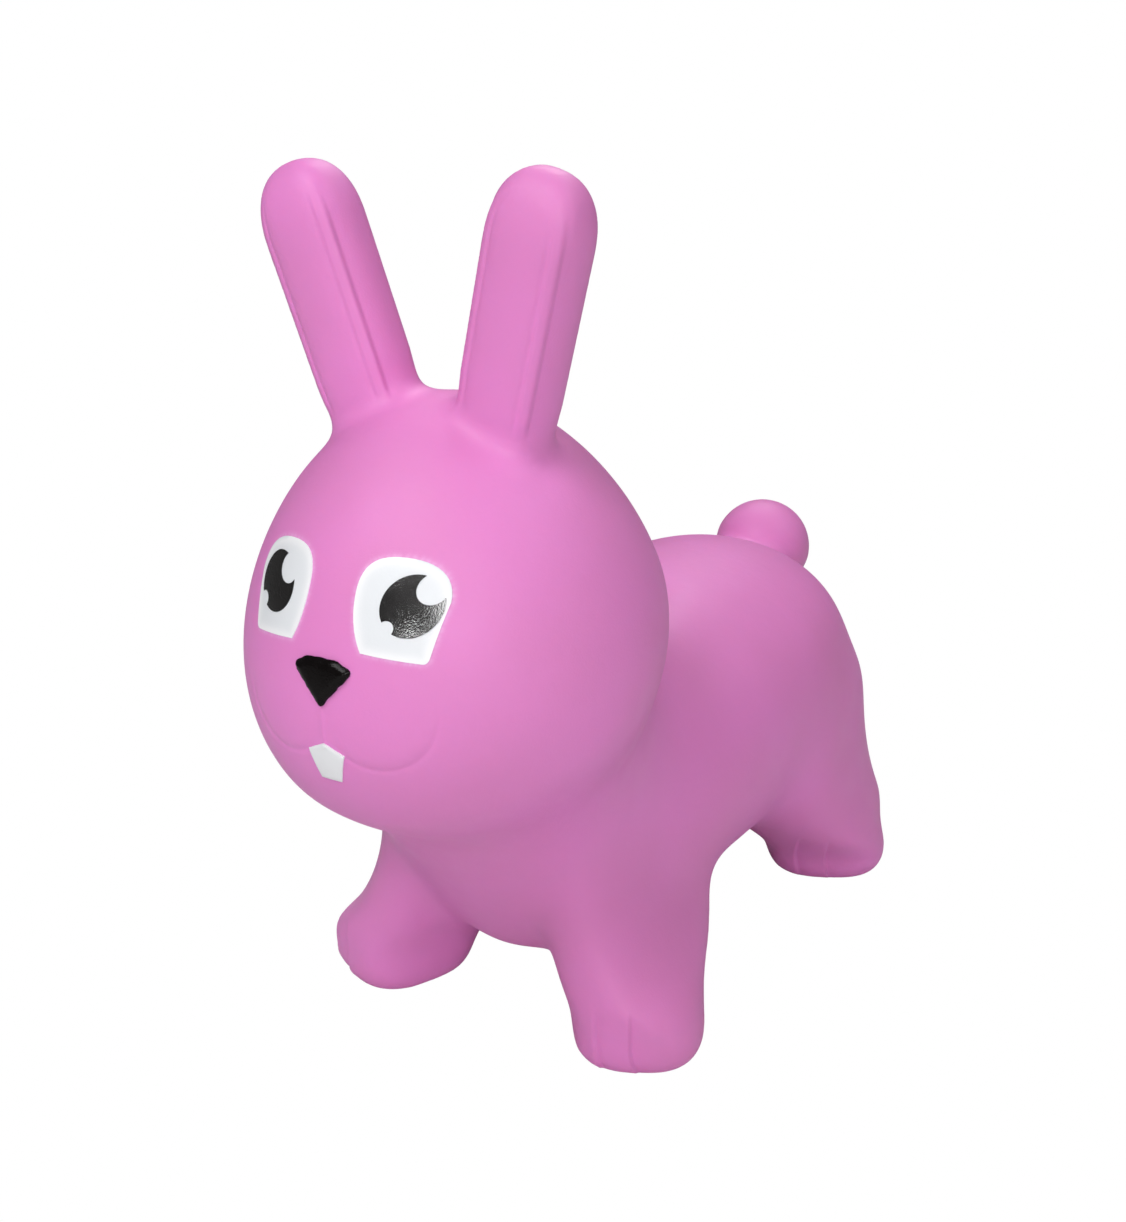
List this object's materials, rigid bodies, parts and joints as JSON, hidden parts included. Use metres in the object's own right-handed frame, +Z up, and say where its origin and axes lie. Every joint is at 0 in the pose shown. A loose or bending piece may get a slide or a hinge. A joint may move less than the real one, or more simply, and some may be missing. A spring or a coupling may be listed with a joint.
{
  "type": "bunny hopper",
  "caption": "Inflated soft vinyl rabbit to sit astride and bounce on: barrel body with a seat, big egg-shaped head, upright ears as handles, short legs, ball tail and belly valve.",
  "frame": {"origin": "on the floor, under the middle of the length from nose to tail, in the plane of symmetry", "axes": "+Z up, +Y from the nose towards the tail, +X towards the rabbit's left side"},
  "size_m": [0.269, 0.5769, 0.5251],
  "materials": {
    "pink_vinyl": "matte soft vinyl with a faint sheen",
    "white_paint": "sprayed satin paint",
    "black_paint": "sprayed gloss paint",
    "tooth_paint": "sprayed satin paint",
    "clear_vinyl": "milky soft plastic"
  },
  "bodies": {
    "torso": {"torso": "pink_vinyl", "tail": "pink_vinyl", "front_leg_left": "pink_vinyl", "front_leg_right": "pink_vinyl", "hind_leg_left": "pink_vinyl", "hind_leg_right": "pink_vinyl", "valve_seat": "clear_vinyl"},
    "head": {"head": "pink_vinyl", "eye_white_left": "white_paint", "eye_white_right": "white_paint", "pupil_left": "black_paint", "pupil_right": "black_paint", "nose": "black_paint", "tooth": "tooth_paint"},
    "ear_left": {"ear_left": "pink_vinyl"},
    "ear_right": {"ear_right": "pink_vinyl"},
    "front_foot_left": {"front_foot_left": "pink_vinyl"},
    "front_foot_right": {"front_foot_right": "pink_vinyl"},
    "hind_foot_left": {"hind_foot_left": "pink_vinyl"},
    "hind_foot_right": {"hind_foot_right": "pink_vinyl"},
    "valve_plug": {"valve_plug": "clear_vinyl"}
  },
  "joints": [
    {"name": "head_nod", "type": "hinge", "parent": "torso", "child": "head", "pos_m": [0, -0.102, 0.195], "axis": [1, 0, 0], "range_deg": [-6, 6], "stiffness_Nm_per_rad": 60},
    {"name": "ear_left_bend", "type": "hinge", "parent": "head", "child": "ear_left", "pos_m": [0.04269, -0.17703, 0.39865], "axis": [1, 0, 0], "range_deg": [-30, 20], "stiffness_Nm_per_rad": 6},
    {"name": "ear_right_bend", "type": "hinge", "parent": "head", "child": "ear_right", "pos_m": [-0.04269, -0.17703, 0.39865], "axis": [1, 0, 0], "range_deg": [-30, 20], "stiffness_Nm_per_rad": 6},
    {"name": "front_foot_left_squash", "type": "slide", "parent": "torso", "child": "front_foot_left", "axis": [0, 0, 1], "range_m": [0, 0.011], "stiffness_N_per_m": 4000, "springref_m": -0.001, "deforming": ["front_leg_left"]},
    {"name": "front_foot_right_squash", "type": "slide", "parent": "torso", "child": "front_foot_right", "axis": [0, 0, 1], "range_m": [0, 0.011], "stiffness_N_per_m": 4000, "springref_m": -0.001, "deforming": ["front_leg_right"]},
    {"name": "hind_foot_left_squash", "type": "slide", "parent": "torso", "child": "hind_foot_left", "axis": [0, 0, 1], "range_m": [0, 0.011], "stiffness_N_per_m": 4000, "springref_m": -0.001, "deforming": ["hind_leg_left"]},
    {"name": "hind_foot_right_squash", "type": "slide", "parent": "torso", "child": "hind_foot_right", "axis": [0, 0, 1], "range_m": [0, 0.011], "stiffness_N_per_m": 4000, "springref_m": -0.001, "deforming": ["hind_leg_right"]},
    {"name": "valve_plug_pull", "type": "slide", "parent": "torso", "child": "valve_plug", "axis": [0, 0, -1], "range_m": [0, 0.03]}
  ]
}
